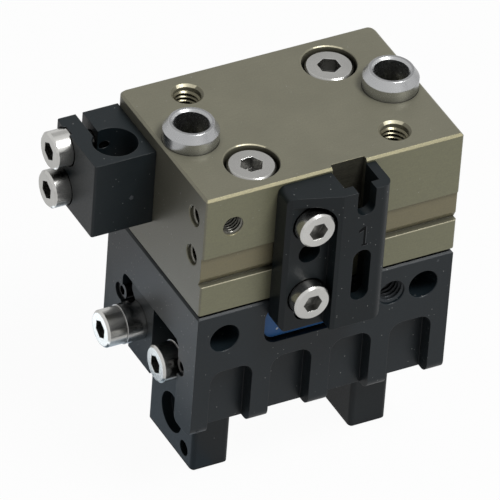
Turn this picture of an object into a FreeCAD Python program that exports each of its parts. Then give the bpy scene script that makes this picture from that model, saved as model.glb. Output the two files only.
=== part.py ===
import FreeCAD
import Part
import Sketcher
import math
import os

os.makedirs("parts", exist_ok=True)
doc = FreeCAD.newDocument("ParallelGripper")

# Driving sizes in millimetres
SIZES = [
    # cylinder housing
    ("body_len", 40.0),
    ("body_wid", 27.4),
    ("cyl_tall", 20.3),
    ("top_bevel", 0.35),
    ("edge_bevel", 0.3),
    ("corner_bevel", 0.2),
    ("rear_round", 1.2),
    ("band_top", 10.2),
    ("band_tall", 4.8),
    ("band_deep", 0.4),
    ("ledge_tall", 1.1),
    ("ledge_deep", 0.9),
    ("notch_mid", 2.1),
    ("notch_wide", 5.3),
    ("notch_deep", 0.9),
    ("bore_dia", 17.0),
    ("bore_roof", 5.2),
    # top face
    ("screw_mid_x", 10.2),
    ("screw_mid_y", 8.0),
    ("sink_dia", 7.9),
    ("sink_deep", 4.4),
    ("mount_mid_x", 11.4),
    ("mount_mid_y", 9.3),
    ("mount_deep", 9.0),
    ("sleeve_mid_x", 15.6),
    ("sleeve_dia", 8.0),
    ("sleeve_seat_dia", 7.6),
    ("sleeve_bore", 5.0),
    ("sleeve_seat", 3.0),
    ("sleeve_out", 3.0),
    ("sleeve_bevel", 0.8),
    ("sleeve_cone", 1.2),
    ("sleeve_mouth", 0.3),
    ("supply_deep", 11.0),
    # threads, clearance holes and screws
    ("tap_four", 3.3),
    ("tap_five", 4.2),
    ("clear_three", 3.3),
    ("clear_four", 4.5),
    ("mouth_bevel", 0.1),
    ("mount_bevel", 0.35),
    ("sink_bevel", 0.15),
    ("through_bevel", 0.1),
    ("three_dia", 3.0),
    ("three_head", 5.5),
    ("three_head_tall", 3.0),
    ("three_socket", 2.5),
    ("three_socket_deep", 1.3),
    ("four_dia", 4.0),
    ("four_head", 7.0),
    ("four_head_tall", 4.0),
    ("four_socket", 3.0),
    ("four_socket_deep", 2.0),
    ("head_bevel", 0.3),
    ("housing_screw_len", 22.0),
    ("thread_spare", 0.5),
    # clearances
    ("run_gap", 0.03),
    ("seat_gap", 0.01),
    ("loose_gap", 0.1),
    ("head_gap", 0.15),
    ("way_gap", 0.4),
    # air passages
    ("port_mid_x", 15.6),
    ("port_drop", 5.5),
    ("side_mid_y", 10.4),
    ("side_upper", 4.75),
    ("side_lower", 11.45),
    ("side_deep", 5.5),
    ("side_port_deep", 2.7),
    ("port_deep", 5.0),
    ("passage_dia", 1.6),
    ("channel_deep", 1.3),
    # joint gasket
    ("gasket_thick", 0.3),
    ("gasket_inset", 0.8),
    # guide housing
    ("web_tall", 7.5),
    ("wall_tall", 13.8),
    ("foot_round", 1.6),
    ("foot_inner_round", 1.0),
    ("channel_half", 8.65),
    ("channel_round", 1.2),
    ("through_mid_x", 15.6),
    ("through_below", 4.6),
    ("front_thread_x", 10.6),
    ("front_thread_deep", 6.0),
    ("pocket_outer", 17.4),
    ("pocket_second", 10.8),
    ("pocket_third", 7.9),
    ("pocket_inner", 1.5),
    ("pocket_below", 2.7),
    ("pocket_deep", 2.3),
    ("pocket_round", 2.0),
    # nameplate and its recess
    ("plate_left", 9.4),
    ("plate_right", 7.4),
    ("plate_below", 1.2),
    ("plate_tall", 6.5),
    ("plate_recess", 1.2),
    ("plate_thick", 0.4),
    ("plate_margin", 0.35),
    ("plate_round", 2.0),
    # crossed roller guides
    ("roller_mid_y", 8.05),
    ("roller_below", 3.6),
    ("roller_dia", 3.0),
    ("roller_len", 2.9),
    ("roller_bevel", 0.3),
    ("roller_gap", 0.02),
    ("apex_flat", 0.2),
    ("cage_thick", 0.8),
    ("cage_half_tall", 3.0),
    ("cage_outer", 15.2),
    ("cage_len", 12.0),
    ("cage_pitch", 4.0),
    ("cage_gap", 0.06),
    ("stop_dia", 2.6),
    ("stop_mid_y", 9.3),
    ("stop_len", 1.2),
    ("stop_set_back", 0.4),
    ("stop_socket", 1.3),
    # piston
    ("piston_stroke", 7.2),
    ("piston_gap", 0.03),
    ("piston_head_room", 0.4),
    ("cap_tall", 1.8),
    ("magnet_tall", 2.2),
    ("magnet_gap", 0.6),
    ("cap_screw_reach", 4.5),
    ("spigot_dia", 9.0),
    ("flange_tall", 3.2),
    ("seal_tall", 1.6),
    ("seal_deep", 1.7),
    ("rod_dia", 7.0),
    ("bush_dia", 10.0),
    ("web_floor", 0.7),
    ("rod_seal_dia", 11.0),
    ("rod_seal_tall", 2.2),
    # wedge hook
    ("hook_below", 0.1),
    ("hook_tall", 5.5),
    ("hook_half_wide", 4.0),
    ("hook_top_half", 11.0),
    ("neck_half", 1.7),
    ("neck_deep", 1.6),
    ("tee_half", 3.2),
    ("tee_deep", 1.8),
    ("hook_gap", 0.05),
    ("hook_side_gap", 0.2),
    ("hook_screw_len", 8.0),
    # jaws
    ("jaw_stroke", 6.0),
    ("jaw_half", 7.45),
    ("jaw_below", 0.5),
    ("jaw_tall", 12.4),
    ("jaw_inner", 0.5),
    ("jaw_outer", 15.5),
    ("boss_outer", 19.1),
    ("boss_start_y", 0.7),
    ("finger_inner", 9.7),
    ("finger_half", 6.8),
    ("finger_tall", 13.5),
    ("finger_round", 0.7),
    ("finger_bevel", 0.3),
    ("finger_bore", 6.2),
    ("finger_bore_deep", 1.6),
    ("finger_bore_below", 7.6),
    ("dowel_dia", 2.4),
    ("dowel_y", 4.2),
    ("dowel_below", 3.4),
    # cams of the jaw position
    ("cam_y", 5.0),
    ("cam_below", 2.2),
    ("cam_dia", 5.8),
    ("cam_sleeve_len", 3.0),
    ("cam_screw_len", 8.0),
    # sensor bracket
    ("bracket_left", 9.0),
    ("bracket_right", 6.1),
    ("bracket_upper", 0.6),
    ("bracket_lower", 23.8),
    ("bracket_plate", 3.4),
    ("bracket_rib", 5.6),
    ("bracket_slant_x", 1.6),
    ("rib_left", 2.2),
    ("bracket_land", 2.2),
    ("bracket_land_round", 3.2),
    ("bracket_round", 1.6),
    ("bracket_side_round", 1.2),
    ("bracket_side_bevel", 0.6),
    ("bracket_screw_x", 5.2),
    ("bracket_screw_up", 5.65),
    ("bracket_screw_rise", 2.05),
    ("bracket_sink", 0.9),
    ("bracket_hole_drop", 10.8),
    ("bracket_slot_drop", 20.8),
    ("bracket_screw_len", 6.0),
    ("sensor_mid", 1.95),
    ("sensor_wide", 2.8),
    ("sensor_slot_foot", 4.8),
    ("chamber_wide", 5.4),
    ("chamber_deep", 3.9),
    ("chamber_foot", 21.0),
    ("window_upper", 10.9),
    ("window_lower", 19.6),
    # sensor clamp
    ("clamp_len", 9.4),
    ("clamp_near", 1.4),
    ("clamp_far", 13.4),
    ("clamp_upper", 2.0),
    ("clamp_lower", 14.2),
    ("clamp_mid_x", 4.3),
    ("clamp_mid_y", 5.6),
    ("clamp_bore", 6.5),
    ("clamp_slit", 1.1),
    ("clamp_slit_x", 6.0),
    ("clamp_sink", 0.4),
    ("clamp_screw_len", 14.0),
    ("clamp_round", 0.3),
]

sheet = doc.addObject("Spreadsheet::Sheet", "sizes")
for row, (alias, number) in enumerate(SIZES, start=1):
    sheet.set("A%d" % row, alias)
    sheet.set("B%d" % row, str(number))
    sheet.setAlias("B%d" % row, alias)
doc.recompute()


class Length:
    """A length known both as a number and as an expression on the sheet."""

    def __init__(self, value, text):
        self.value = value
        self.text = text

    def __add__(self, other):
        other = length(other)
        return Length(self.value + other.value, "(%s + %s)" % (self.text, other.text))

    def __radd__(self, other):
        return length(other) + self

    def __sub__(self, other):
        other = length(other)
        return Length(self.value - other.value, "(%s - %s)" % (self.text, other.text))

    def __rsub__(self, other):
        return length(other) - self

    def __mul__(self, other):
        other = length(other)
        return Length(self.value * other.value, "(%s * %s)" % (self.text, other.text))

    def __rmul__(self, other):
        return length(other) * self

    def __truediv__(self, other):
        other = length(other)
        return Length(self.value / other.value, "(%s / %s)" % (self.text, other.text))

    def __neg__(self):
        return Length(-self.value, "(-%s)" % self.text)


def length(item):
    if isinstance(item, Length):
        return item
    return Length(float(item), "(%.9g)" % item)


class Sheet:
    pass


S = Sheet()
for alias, number in SIZES:
    setattr(S, alias, Length(float(sheet.get(alias)), "sizes." + alias))

ROOT_TWO = math.sqrt(2.0)
HALF_LEN = S.body_len / 2
HALF_WID = S.body_wid / 2
# Top of the guide housing, drop of the bracket's lower screw and slope of the hook flanks
GUIDE_TOP = S.cyl_tall + S.gasket_thick
BRACKET_SCREW_LOW = S.cyl_tall - S.bracket_screw_rise
SLOPE = S.jaw_stroke / S.piston_stroke
# Levels below the mounting face, each from the one above it
CHANNEL_TOP = GUIDE_TOP + S.web_tall
GUIDE_FOOT = CHANNEL_TOP + S.wall_tall
THROUGH_DROP = GUIDE_TOP + S.through_below
PLATE_UPPER = GUIDE_TOP + S.plate_below
PLATE_LOWER = PLATE_UPPER + S.plate_tall
POCKET_TOP = PLATE_LOWER + S.pocket_below
JAW_TOP = CHANNEL_TOP + S.jaw_below
JAW_FOOT = JAW_TOP + S.jaw_tall
ROLLER_DROP = JAW_TOP + S.roller_below
CAM_DROP = ROLLER_DROP + S.cam_below
HOOK_DROP = JAW_TOP + S.hook_below
FINGER_FOOT = JAW_FOOT + S.finger_tall
FINGER_BORE_DROP = JAW_FOOT + S.finger_bore_below
DOWEL_DROP = FINGER_BORE_DROP + S.dowel_below
# Threaded holes that hold a screw of this part, and the room round a screw head
THREAD_THREE = S.three_dia / 2 + S.seat_gap
THREAD_FOUR = S.four_dia / 2 + S.seat_gap
HEAD_ROOM = S.three_head / 2 + S.head_gap


def bind(obj, name, item):
    item = length(item)
    obj.setExpression(name, item.text)


def place(obj, x, y, z, rotation=None):
    if rotation is not None:
        obj.Placement = FreeCAD.Placement(FreeCAD.Vector(0, 0, 0), rotation)
    bind(obj, "Placement.Base.x", x)
    bind(obj, "Placement.Base.y", y)
    bind(obj, "Placement.Base.z", z)


def turn(axis, degrees):
    return FreeCAD.Rotation(FreeCAD.Vector(*axis), degrees)


# Sketches whose every corner is held by the sheet
def new_body(name):
    body = doc.addObject("PartDesign::Body", name)
    body.Label = name
    return body


def new_sketch(body, name, role, shift=0):
    drawing = body.newObject("Sketcher::SketchObject", name)
    base = [item for item in body.Origin.OriginFeatures if item.Role == role][0]
    drawing.AttachmentSupport = [(base, "")]
    drawing.MapMode = "FlatFace"
    bind(drawing, "AttachmentOffset.Base.z", shift)
    return drawing


def hold(drawing, kind, *where):
    item = length(where[-1])
    spot = drawing.addConstraint(Sketcher.Constraint(kind, *where[:-1], item.value))
    drawing.setExpression("Constraints[%d]" % spot, item.text)


def add_polygon(drawing, points):
    first = drawing.GeometryCount
    count = len(points)
    flat = [FreeCAD.Vector(length(u).value, length(v).value, 0) for u, v in points]
    for i in range(count):
        drawing.addGeometry(Part.LineSegment(flat[i], flat[(i + 1) % count]), False)
    for i in range(count):
        after = first + (i + 1) % count
        drawing.addConstraint(Sketcher.Constraint("Coincident", first + i, 2, after, 1))
    for i, (u, v) in enumerate(points):
        hold(drawing, "DistanceX", -1, 1, first + i, 1, u)
        hold(drawing, "DistanceY", -1, 1, first + i, 1, v)


def rectangle(left, right, low, high):
    return [(left, low), (right, low), (right, high), (left, high)]


def pad(body, drawing, reach, both=False, back=False):
    feature = body.newObject("PartDesign::Pad", drawing.Name + "_pad")
    feature.Profile = drawing
    bind(feature, "Length", reach)
    feature.SideType = "Symmetric" if both else "One side"
    feature.Reversed = back
    doc.recompute()
    return feature


def pocket(body, drawing, reach, both=False, back=False):
    doc.recompute()
    before = body.Shape.Volume
    feature = body.newObject("PartDesign::Pocket", drawing.Name + "_cut")
    feature.Profile = drawing
    bind(feature, "Length", reach)
    feature.SideType = "Symmetric" if both else "One side"
    feature.Reversed = back
    doc.recompute()
    if body.Shape.Volume > before - 1e-4:
        raise RuntimeError("%s removes nothing" % drawing.Name)
    return feature


def revolve(body, drawing):
    feature = body.newObject("PartDesign::Revolution", drawing.Name + "_turned")
    feature.Profile = drawing
    feature.ReferenceAxis = (drawing, ["V_Axis"])
    feature.Angle = 360
    doc.recompute()
    return feature


def find_edges(shape, test):
    return ["Edge%d" % n for n, edge in enumerate(shape.Edges, start=1) if test(edge)]


def runs_along(edge, axis):
    if edge.Curve.TypeId != "Part::GeomLine":
        return False
    return abs(abs(edge.Curve.Direction.dot(FreeCAD.Vector(*axis))) - 1) < 1e-6


def lies_at(edge, level):
    return all(abs(corner.Z - level) < 1e-4 for corner in edge.Vertexes)


def dress(body, kind, name, amount, test):
    doc.recompute()
    base = body.Tip
    names = find_edges(base.Shape, test)
    if not names:
        raise RuntimeError("%s finds no edges" % name)
    feature = body.newObject("PartDesign::" + kind, name)
    feature.Base = (base, names)
    bind(feature, "Radius" if kind == "Fillet" else "Size", amount)
    doc.recompute()
    return feature


def turned(name, points):
    """A round piece, turned about its Z axis from a half section."""
    body = new_body(name)
    drawing = new_sketch(body, name + "_section", "XZ_Plane")
    add_polygon(drawing, points)
    revolve(body, drawing)
    return body


# Plain solids whose extents are held by the sheet
def block(name, x, y, z):
    box = doc.addObject("Part::Box", name)
    bind(box, "Length", x[1] - x[0])
    bind(box, "Width", y[1] - y[0])
    bind(box, "Height", z[1] - z[0])
    place(box, x[0], y[0], z[0])
    return box


AXIS_TURN = {
    "x": ((0, 1, 0), 90),
    "y": ((1, 0, 0), -90),
    "z": ((0, 0, 1), 0),
}


def along(axis, start, u, v):
    """Point at start on an axis line; u and v are its two other coordinates in order."""
    if axis == "x":
        return start, u, v
    if axis == "y":
        return u, start, v
    return u, v, start


def drill(name, axis, radius, start, end, u, v):
    rod = doc.addObject("Part::Cylinder", name)
    bind(rod, "Radius", radius)
    bind(rod, "Height", length(end) - start)
    place(rod, *along(axis, start, u, v), turn(*AXIS_TURN[axis]))
    return rod


def funnel(name, axis, first, last, start, end, u, v):
    cone = doc.addObject("Part::Cone", name)
    bind(cone, "Radius1", first)
    bind(cone, "Radius2", last)
    bind(cone, "Height", length(end) - start)
    place(cone, *along(axis, start, u, v), turn(*AXIS_TURN[axis]))
    return cone


def threaded(name, axis, sign, radius, face, deep, u, v, bevel=None):
    """Tapped hole from a face inwards (sign is the way in) with a bevelled mouth."""
    bevel = bevel or S.mouth_bevel
    inner = face + sign * deep
    lip = face + sign * bevel
    out = face - sign * bevel
    wide = radius + 2 * bevel
    if sign > 0:
        return [
            drill(name, axis, radius, face - 0.5, inner, u, v),
            funnel(name + "_mouth", axis, wide, radius, out, lip, u, v),
        ]
    return [
        drill(name, axis, radius, inner, face + 0.5, u, v),
        funnel(name + "_mouth", axis, radius, wide, lip, out, u, v),
    ]


def cut(name, base, tools):
    result = doc.addObject("Part::Cut", name)
    result.Base = base
    if len(tools) > 1:
        joined = doc.addObject("Part::MultiFuse", name + "_tools")
        joined.Shapes = tools
        result.Tool = joined
    else:
        result.Tool = tools[0]
    result.Label = name
    return result


def cap_screw(name, dia, head, tall, socket, socket_deep, shank, spin=0):
    """Socket head cap screw along -Z with the top of its head at its own origin."""
    foot = -(tall + shank)
    body = turned(name, [
        (0, 0),
        (head / 2 - S.head_bevel, 0),
        (head / 2, -S.head_bevel),
        (head / 2, -tall),
        (dia / 2, -tall),
        (dia / 2, foot + S.head_bevel),
        (dia / 2 - S.head_bevel, foot),
        (0, foot),
    ])
    drawing = new_sketch(body, name + "_socket", "XY_Plane")
    corner = socket / math.sqrt(3.0)
    corners = []
    for step in range(6):
        angle = math.radians(60 * step + spin)
        corners.append((corner * math.cos(angle), corner * math.sin(angle)))
    add_polygon(drawing, corners)
    pocket(body, drawing, socket_deep)
    return body


def screw_three(name, shank, spin=0):
    return cap_screw(name, S.three_dia, S.three_head, S.three_head_tall,
                     S.three_socket, S.three_socket_deep, shank, spin)


# Screws point along +X or +Y when turned from -Z
TO_X = turn((0, 1, 0), -90)
TO_Y = turn((1, 0, 0), 90)

pieces = []


# Cylinder housing: block with rounded rear corners
housing = new_body("cylinder_block")
drawing = new_sketch(housing, "cylinder_outline", "XY_Plane")
add_polygon(drawing, rectangle(-HALF_LEN, HALF_LEN, -HALF_WID, HALF_WID))
pad(housing, drawing, S.cyl_tall, back=True)


def is_rear_corner(edge):
    spot = edge.CenterOfMass
    rear = abs(spot.y - HALF_WID.value) < 0.01
    return runs_along(edge, (0, 0, 1)) and rear and abs(abs(spot.x) - HALF_LEN.value) < 0.01


dress(housing, "Fillet", "rear_corners", S.rear_round, is_rear_corner)


def is_top_rim(edge):
    return lies_at(edge, 0)


dress(housing, "Chamfer", "top_rim", S.top_bevel, is_top_rim)


def is_front_corner(edge):
    spot = edge.CenterOfMass
    front = abs(spot.y + HALF_WID.value) < 0.01
    return runs_along(edge, (0, 0, 1)) and front and abs(abs(spot.x) - HALF_LEN.value) < 0.01


dress(housing, "Chamfer", "front_corners", S.corner_bevel, is_front_corner)


def is_foot_rim(edge):
    return lies_at(edge, -S.cyl_tall.value)


dress(housing, "Chamfer", "cylinder_foot_rim", S.edge_bevel, is_foot_rim)


# Recessed band with its ledge on both long sides
def long_side(sign):
    outer = sign * (HALF_WID + 1)
    band_side = sign * (HALF_WID - S.band_deep)
    ledge_side = sign * (HALF_WID - S.ledge_deep)
    band_foot = -(S.band_top + S.band_tall)
    return [
        (outer, -S.band_top),
        (band_side, -S.band_top),
        (band_side, band_foot + S.ledge_tall),
        (ledge_side, band_foot),
        (outer, band_foot),
    ]


drawing = new_sketch(housing, "long_side_bands", "YZ_Plane")
add_polygon(drawing, long_side(-1))
add_polygon(drawing, long_side(1))
pocket(housing, drawing, S.body_len + 2, both=True)

foot = -S.cyl_tall
tools = [
    drill("bore", "z", S.bore_dia / 2, foot - 1, -S.bore_roof, 0, 0),
    block("notch",
          (S.notch_mid - S.notch_wide / 2, S.notch_mid + S.notch_wide / 2),
          (-HALF_WID - 1, -HALF_WID + S.notch_deep),
          (-S.band_top, S.notch_deep)),
]
for side, sign in (("front", -1), ("rear", 1)):
    x, y = sign * S.screw_mid_x, sign * S.screw_mid_y
    tools.append(drill("screw_way_" + side, "z", S.clear_four / 2, foot - 1, -S.sink_deep / 2, x, y))
    tools.append(drill("screw_sink_" + side, "z", S.sink_dia / 2, -S.sink_deep, 1, x, y))
    tools.append(funnel("screw_rim_" + side, "z", S.sink_dia / 2, S.sink_dia / 2 + 2 * S.sink_bevel,
                        -S.sink_bevel, S.sink_bevel, x, y))
    x, y = sign * S.mount_mid_x, -sign * S.mount_mid_y
    tools += threaded("mount_thread_" + side, "z", -1, S.four_dia / 2, length(0), S.mount_deep, x, y,
                      S.mount_bevel)
for side, sign in (("left", -1), ("right", 1)):
    x = sign * S.sleeve_mid_x
    tools.append(drill("sleeve_pocket_" + side, "z", S.sleeve_seat_dia / 2 + S.seat_gap, -S.sleeve_seat, 1, x, 0))
    tools.append(drill("sleeve_mouth_" + side, "z", S.sleeve_dia / 2 + S.run_gap, -S.sleeve_mouth, 1, x, 0))
    tools.append(drill("supply_" + side, "z", S.tap_five / 2, -S.supply_deep, 0, x, 0))
# Air line of the upper chamber: front port, upper side port and the supply under the left sleeve
tools += threaded("front_port", "y", 1, S.three_dia / 2, -HALF_WID, S.port_deep, -S.port_mid_x, -S.port_drop)
tools.append(drill("front_passage", "y", S.passage_dia / 2, -HALF_WID + 1, 0, -S.port_mid_x, -S.port_drop))
oblique = drill("upper_passage", "z", S.passage_dia / 2, 0, S.sleeve_mid_x - S.bore_dia / 2 + 2, 0, 0)
oblique.Placement = FreeCAD.Placement(FreeCAD.Vector(0, 0, 0), turn((0, 1, 0), 123))
bind(oblique, "Placement.Base.x", -S.sleeve_mid_x)
bind(oblique, "Placement.Base.z", -S.sleeve_seat / 3)
tools.append(oblique)
# Air line of the lower chamber: lower side port, a vertical way and a milled channel in the foot
vertical = drill("lower_passage", "z", S.passage_dia / 2, foot - 1, -S.side_lower, -S.port_mid_x, -S.side_mid_y)
tools.append(vertical)
half_channel = S.passage_dia / 2
tools.append(block("foot_channel_across",
                   (-S.port_mid_x - half_channel, -S.port_mid_x + half_channel),
                   (-S.side_mid_y, half_channel),
                   (foot - 1, foot + S.channel_deep)))
tools.append(block("foot_channel_along",
                   (-S.port_mid_x, length(0) - S.bore_dia / 4),
                   (-half_channel, half_channel),
                   (foot - 1, foot + S.channel_deep)))
for level, drop in (("upper", S.side_upper), ("lower", S.side_lower)):
    tools += threaded("side_port_" + level, "x", 1, S.three_dia / 2, -HALF_LEN, S.side_port_deep,
                      -S.side_mid_y, -drop)
    tools.append(drill("side_passage_" + level, "x", S.passage_dia / 2, 1 - HALF_LEN, -S.port_mid_x,
                       -S.side_mid_y, -drop))
    tools += threaded("clamp_thread_" + level, "x", 1, THREAD_THREE, -HALF_LEN, S.side_deep,
                      S.side_mid_y, -drop)
bracket_reach = S.bracket_screw_len - (S.bracket_plate - S.bracket_sink) + S.thread_spare
for level, drop in (("upper", S.bracket_screw_up), ("lower", BRACKET_SCREW_LOW)):
    tools.append(drill("bracket_thread_" + level, "y", THREAD_THREE, -HALF_WID - 1,
                       -HALF_WID + bracket_reach, -S.bracket_screw_x, -drop))
pieces.append(cut("cylinder_housing", housing, tools))

# Joint gasket between the housings
inset = S.gasket_inset
sheet_part = block("gasket_sheet",
                   (-HALF_LEN + inset, HALF_LEN - inset),
                   (-HALF_WID + inset, HALF_WID - inset),
                   (-GUIDE_TOP, foot))
tools = [drill("gasket_bore", "z", S.bore_dia / 2, -GUIDE_TOP - 1, foot + 1, 0, 0)]
for side, sign in (("front", -1), ("rear", 1)):
    tools.append(drill("gasket_way_" + side, "z", S.clear_four / 2, -GUIDE_TOP - 1, foot + 1,
                       sign * S.screw_mid_x, sign * S.screw_mid_y))
pieces.append(cut("joint_gasket", sheet_part, tools))

# Centring sleeves
for side, sign in (("left", -1), ("right", 1)):
    outer = S.sleeve_dia / 2
    seat = S.sleeve_seat_dia / 2
    sleeve = turned("centring_sleeve_" + side, [
        (S.sleeve_bore / 2, -S.sleeve_seat),
        (seat - S.edge_bevel, -S.sleeve_seat),
        (seat, -S.sleeve_seat + S.edge_bevel),
        (seat, 0),
        (outer, 0),
        (outer, S.sleeve_out - S.sleeve_cone),
        (outer - S.sleeve_bevel, S.sleeve_out),
        (S.sleeve_bore / 2 + S.edge_bevel, S.sleeve_out),
        (S.sleeve_bore / 2, S.sleeve_out - S.edge_bevel),
    ])
    place(sleeve, sign * S.sleeve_mid_x, 0, 0)
    pieces.append(sleeve)

# Screws that hold the cylinder housing on the guide housing
for side, sign, spin in (("front", -1, 0), ("rear", 1, 30)):
    screw = cap_screw("housing_screw_" + side, S.four_dia, S.four_head, S.four_head_tall,
                      S.four_socket, S.four_socket_deep, S.housing_screw_len, spin)
    place(screw, sign * S.screw_mid_x, sign * S.screw_mid_y, S.four_head_tall - S.sink_deep)
    pieces.append(screw)

# Guide housing: end profile of web, walls and roller grooves
APEX = (S.roller_dia / 2 + S.roller_gap) * ROOT_TWO
WALL_APEX = S.roller_mid_y + APEX
JAW_APEX = S.roller_mid_y - APEX


def wall_side(sign):
    mouth = WALL_APEX - S.channel_half
    return [
        (sign * HALF_WID, -GUIDE_TOP),
        (sign * HALF_WID, -GUIDE_FOOT),
        (sign * S.channel_half, -GUIDE_FOOT),
        (sign * S.channel_half, -ROLLER_DROP - mouth),
        (sign * (WALL_APEX - S.apex_flat), -ROLLER_DROP - S.apex_flat),
        (sign * (WALL_APEX - S.apex_flat), -ROLLER_DROP + S.apex_flat),
        (sign * S.channel_half, -ROLLER_DROP + mouth),
        (sign * S.channel_half, -CHANNEL_TOP),
    ]


guide = new_body("guide_block")
profile = new_sketch(guide, "guide_profile", "YZ_Plane")
add_polygon(profile, wall_side(-1) + wall_side(1)[::-1])
pad(guide, profile, S.body_len, both=True)

windows = new_sketch(guide, "side_pockets", "XZ_Plane", HALF_WID)
spans = [
    (-S.pocket_outer, -S.pocket_second),
    (-S.pocket_third, -S.pocket_inner),
    (S.pocket_inner, S.pocket_third),
    (S.pocket_second, S.pocket_outer),
]
for left, right in spans:
    add_polygon(windows, rectangle(left, right, -GUIDE_FOOT - 1, -POCKET_TOP))
pocket(guide, windows, S.pocket_deep)
windows = new_sketch(guide, "rear_pockets", "XZ_Plane", -HALF_WID)
for left, right in spans:
    add_polygon(windows, rectangle(left, right, -GUIDE_FOOT - 1, -POCKET_TOP))
pocket(guide, windows, S.pocket_deep, back=True)

recess = new_sketch(guide, "plate_recess", "XZ_Plane", HALF_WID)
add_polygon(recess, rectangle(-S.plate_left, S.plate_right, -PLATE_LOWER, -PLATE_UPPER))
pocket(guide, recess, S.plate_recess)


def is_pocket_corner(edge):
    spot = edge.CenterOfMass
    high = abs(spot.z + POCKET_TOP.value) < 1e-4
    return runs_along(edge, (0, 1, 0)) and high and abs(spot.y) > HALF_WID.value - S.pocket_deep.value


dress(guide, "Fillet", "pocket_corners", S.pocket_round, is_pocket_corner)


def is_recess_corner(edge):
    spot = edge.CenterOfMass
    level = min(abs(spot.z + PLATE_LOWER.value), abs(spot.z + PLATE_UPPER.value)) < 1e-4
    depth = abs(edge.Length - S.plate_recess.value) < 1e-4
    return runs_along(edge, (0, 1, 0)) and level and depth and spot.y < 0


dress(guide, "Fillet", "recess_corners", S.plate_round, is_recess_corner)


def is_channel_corner(edge):
    spot = edge.CenterOfMass
    high = abs(spot.z + CHANNEL_TOP.value) < 1e-4
    return runs_along(edge, (1, 0, 0)) and high and abs(abs(spot.y) - S.channel_half.value) < 1e-3


dress(guide, "Fillet", "channel_corners", S.channel_round, is_channel_corner)


def is_outer_foot(edge):
    spot = edge.CenterOfMass
    low = abs(spot.z + GUIDE_FOOT.value) < 1e-4
    return runs_along(edge, (1, 0, 0)) and low and abs(abs(spot.y) - HALF_WID.value) < 1e-3


dress(guide, "Fillet", "outer_foot", S.foot_round, is_outer_foot)


def is_inner_foot(edge):
    spot = edge.CenterOfMass
    low = abs(spot.z + GUIDE_FOOT.value) < 1e-4
    return runs_along(edge, (1, 0, 0)) and low and abs(abs(spot.y) - S.channel_half.value) < 1e-3


dress(guide, "Fillet", "inner_foot", S.foot_inner_round, is_inner_foot)


def is_guide_top(edge):
    spot = edge.CenterOfMass
    rim = abs(abs(spot.x) - HALF_LEN.value) < 1e-3 or abs(abs(spot.y) - HALF_WID.value) < 1e-3
    return abs(spot.z + GUIDE_TOP.value) < 1e-6 and rim


dress(guide, "Chamfer", "guide_top_rim", S.edge_bevel, is_guide_top)

tools = []
for side, sign in (("left", -1), ("right", 1)):
    x = sign * S.through_mid_x
    tools.append(drill("through_" + side, "y", S.clear_four / 2, -HALF_WID - 1, HALF_WID + 1, x, -THROUGH_DROP))
    for face, way in (("front", -1), ("rear", 1)):
        wide = S.clear_four / 2 + 2 * S.through_bevel
        lip, out = way * (HALF_WID - S.through_bevel), way * (HALF_WID + S.through_bevel)
        name = "through_mouth_%s_%s" % (side, face)
        if way > 0:
            tools.append(funnel(name, "y", S.clear_four / 2, wide, lip, out, x, -THROUGH_DROP))
        else:
            tools.append(funnel(name, "y", wide, S.clear_four / 2, out, lip, x, -THROUGH_DROP))
tools += threaded("front_thread", "y", 1, S.four_dia / 2, -HALF_WID, S.front_thread_deep,
                  S.front_thread_x, -THROUGH_DROP)
screw_foot = S.sink_deep + S.housing_screw_len + S.thread_spare
bush_foot = -CHANNEL_TOP + S.web_floor
for side, sign in (("front", -1), ("rear", 1)):
    tools.append(drill("housing_thread_" + side, "z", THREAD_FOUR, -screw_foot,
                       -GUIDE_TOP + 1, sign * S.screw_mid_x, sign * S.screw_mid_y))
tools.append(drill("rod_way", "z", S.rod_dia / 2 + S.way_gap, -CHANNEL_TOP - 1, -GUIDE_TOP + 1, 0, 0))
tools.append(drill("bush_seat", "z", S.bush_dia / 2 + S.seat_gap, bush_foot,
                   -GUIDE_TOP + 1, 0, 0))
tools.append(drill("rod_seal_seat", "z", S.rod_seal_dia / 2 + S.seat_gap, -GUIDE_TOP - S.rod_seal_tall,
                   -GUIDE_TOP + 1, 0, 0))
for side, sign in (("left", -1), ("right", 1)):
    for face, way in (("front", -1), ("rear", 1)):
        start = sign * (HALF_LEN + 1)
        end = sign * (HALF_LEN - S.stop_set_back - S.stop_len)
        low, high = (start, end) if sign < 0 else (end, start)
        tools.append(drill("stop_seat_%s_%s" % (side, face), "x", S.stop_dia / 2 + S.seat_gap,
                           low, high, way * S.stop_mid_y, -ROLLER_DROP))
pieces.append(cut("guide_housing", guide, tools))

# Rod bushing and rod seal in the web
bush = turned("rod_bushing", [
    (S.rod_dia / 2 + S.run_gap, bush_foot),
    (S.bush_dia / 2, bush_foot),
    (S.bush_dia / 2, -GUIDE_TOP - S.rod_seal_tall),
    (S.rod_dia / 2 + S.run_gap, -GUIDE_TOP - S.rod_seal_tall),
])
pieces.append(bush)
seal = turned("rod_seal", [
    (S.rod_dia / 2 + S.run_gap, -GUIDE_TOP - S.rod_seal_tall),
    (S.rod_seal_dia / 2, -GUIDE_TOP - S.rod_seal_tall),
    (S.rod_seal_dia / 2, -GUIDE_TOP),
    (S.rod_seal_dia / 2 - 0.6, -GUIDE_TOP),
    (S.rod_dia / 2 + 0.9, -GUIDE_TOP - 0.7),
    (S.rod_dia / 2 + S.run_gap, -GUIDE_TOP - 0.1),
])
pieces.append(seal)

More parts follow.
